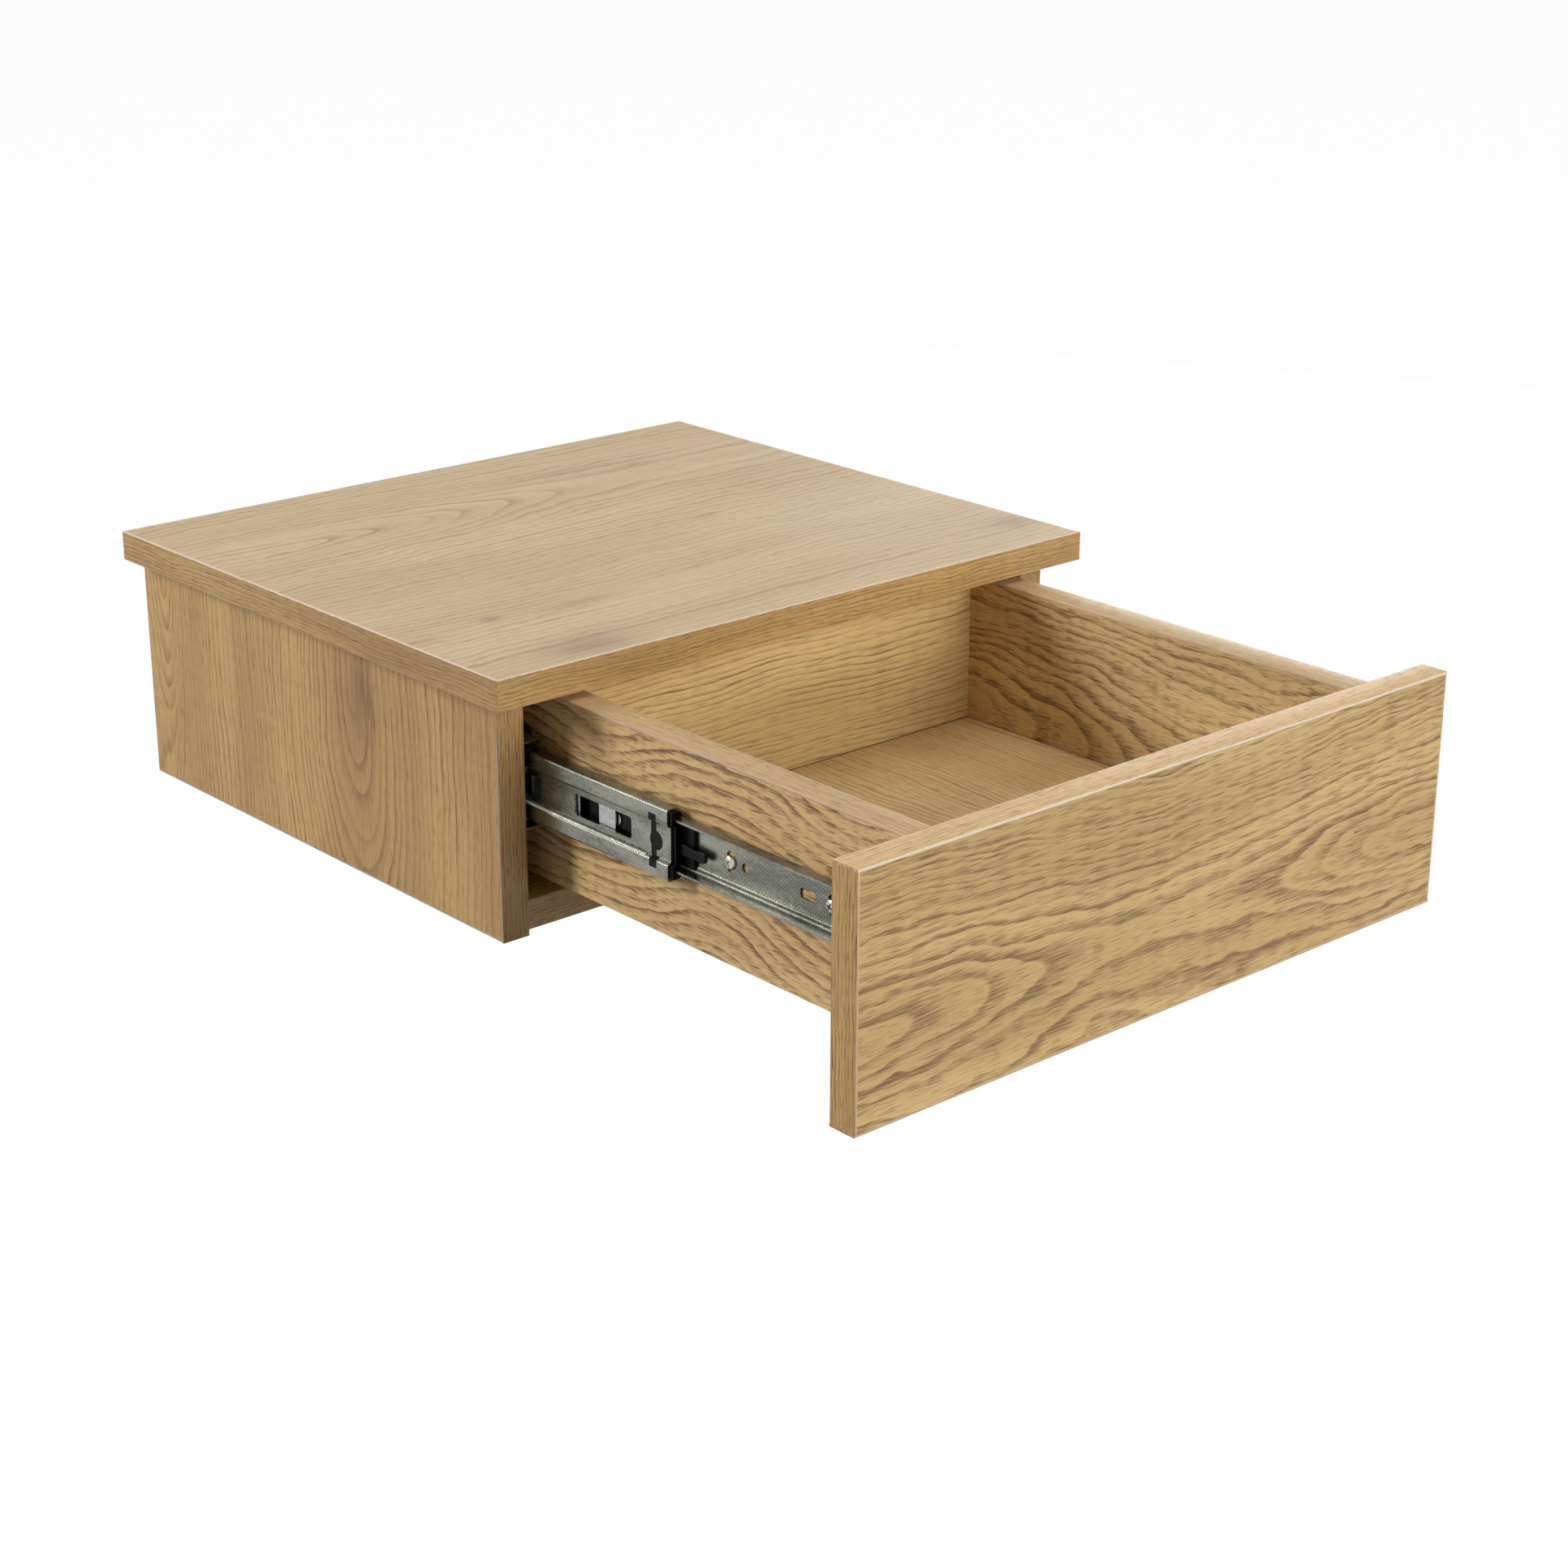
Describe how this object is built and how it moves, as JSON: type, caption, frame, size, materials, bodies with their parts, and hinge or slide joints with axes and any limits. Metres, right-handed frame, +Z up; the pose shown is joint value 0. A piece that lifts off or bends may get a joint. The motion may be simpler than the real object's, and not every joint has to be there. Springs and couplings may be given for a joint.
{
  "type": "wall-hung bedside cabinet with a drawer",
  "caption": "Low wall-hung bedside cabinet in oak decor, with an overhanging top and a full-width handleless drawer on ball-bearing slides, standing open.",
  "frame": {"origin": "centre of the wall-screw pattern, on the wall plane that the case's back edges lie in", "axes": "+X to the right seen from the front, +Y into the wall, +Z up; the drawer opens towards -Y"},
  "size_m": [0.37, 0.5535, 0.133],
  "materials": {
    "oak_board": "oak-decor melamine on particle board, satin",
    "oak_band": "oak-decor edge banding, satin, paler on its rounded corners",
    "beech": "plain fluted dowel wood",
    "tan_plastic": "moulded, matt",
    "cream_plastic": "moulded, matt",
    "cast_zinc": "as cast, dull",
    "yellow_zinc_steel": "yellow zinc plated",
    "bright_zinc_steel": "bright zinc plated",
    "bearing_steel": "polished",
    "zinc_sheet": "zinc plated rolled sheet, a little greasy",
    "black_plastic": "moulded, satin"
  },
  "bodies": {
    "case": {"top_panel": "oak_board", "left_side_panel": "oak_board", "right_side_panel": "oak_board", "bottom_panel": "oak_board", "back_board": "oak_board", "top_edge_bands": "oak_band", "side_edge_bands": "oak_band", "bottom_edge_band": "oak_band", "case_cams": "cast_zinc", "case_cam_bolts": "yellow_zinc_steel", "case_dowels": "beech", "case_cam_caps": "tan_plastic", "corner_blocks": "cream_plastic", "corner_block_screws": "bright_zinc_steel", "cabinet_member_left": "zinc_sheet", "cabinet_member_right": "zinc_sheet", "cabinet_member_screws": "bright_zinc_steel", "rear_stops": "black_plastic"},
    "drawer": {"drawer_member_left": "zinc_sheet", "drawer_member_right": "zinc_sheet", "drawer_member_screws": "bright_zinc_steel", "lever_base_left": "black_plastic", "lever_base_right": "black_plastic", "lever_rivets": "bright_zinc_steel", "drawer_front": "oak_board", "drawer_left_side": "oak_board", "drawer_right_side": "oak_board", "drawer_back": "oak_board", "drawer_floor": "oak_board", "drawer_front_bands": "oak_band", "drawer_box_bands": "oak_band", "drawer_cams": "cast_zinc", "drawer_cam_bolts": "yellow_zinc_steel", "drawer_dowels": "beech", "drawer_cam_caps": "tan_plastic", "drawer_back_screws": "yellow_zinc_steel", "floor_screws": "bright_zinc_steel"},
    "middle_left": {"middle_member_left": "zinc_sheet", "front_guide_left": "black_plastic"},
    "outer_cage_left": {"outer_cage_left": "zinc_sheet", "outer_balls_left": "bearing_steel"},
    "inner_cage_left": {"inner_cage_left": "zinc_sheet", "inner_balls_left": "bearing_steel"},
    "lever_left": {"release_lever_left": "black_plastic"},
    "middle_right": {"middle_member_right": "zinc_sheet", "front_guide_right": "black_plastic"},
    "outer_cage_right": {"outer_cage_right": "zinc_sheet", "outer_balls_right": "bearing_steel"},
    "inner_cage_right": {"inner_cage_right": "zinc_sheet", "inner_balls_right": "bearing_steel"},
    "lever_right": {"release_lever_right": "black_plastic"}
  },
  "joints": [
    {"name": "drawer_slide", "type": "slide", "parent": "case", "child": "drawer", "axis": [0, -1, 0], "range_m": [-0.2315, 0.0185]},
    {"name": "middle_left_slide", "type": "slide", "parent": "case", "child": "middle_left", "axis": [0, -1, 0], "range_m": [-0.09956, 0.00796]},
    {"name": "outer_cage_left_slide", "type": "slide", "parent": "case", "child": "outer_cage_left", "axis": [0, -1, 0], "range_m": [-0.04978, 0.00399]},
    {"name": "inner_cage_left_slide", "type": "slide", "parent": "case", "child": "inner_cage_left", "axis": [0, -1, 0], "range_m": [-0.16553, 0.01324]},
    {"name": "lever_left_pivot", "type": "hinge", "parent": "drawer", "child": "lever_left", "pos_m": [-0.1498, -0.3615, 0.004], "axis": [1, 0, 0], "range_deg": [0, 6], "stiffness_Nm_per_rad": 0.05, "springref_deg": -1.15},
    {"name": "middle_right_slide", "type": "slide", "parent": "case", "child": "middle_right", "axis": [0, -1, 0], "range_m": [-0.09956, 0.00796]},
    {"name": "outer_cage_right_slide", "type": "slide", "parent": "case", "child": "outer_cage_right", "axis": [0, -1, 0], "range_m": [-0.04978, 0.00399]},
    {"name": "inner_cage_right_slide", "type": "slide", "parent": "case", "child": "inner_cage_right", "axis": [0, -1, 0], "range_m": [-0.16553, 0.01324]},
    {"name": "lever_right_pivot", "type": "hinge", "parent": "drawer", "child": "lever_right", "pos_m": [0.1498, -0.3615, 0.004], "axis": [-1, 0, 0], "range_deg": [0, 6], "stiffness_Nm_per_rad": 0.05, "springref_deg": -1.15}
  ],
  "couplings": [
    {"joint": "middle_left_slide", "follows": "drawer_slide", "ratio": 0.43},
    {"joint": "outer_cage_left_slide", "follows": "drawer_slide", "ratio": 0.215},
    {"joint": "inner_cage_left_slide", "follows": "drawer_slide", "ratio": 0.715},
    {"joint": "middle_right_slide", "follows": "drawer_slide", "ratio": 0.43},
    {"joint": "outer_cage_right_slide", "follows": "drawer_slide", "ratio": 0.215},
    {"joint": "inner_cage_right_slide", "follows": "drawer_slide", "ratio": 0.715}
  ]
}
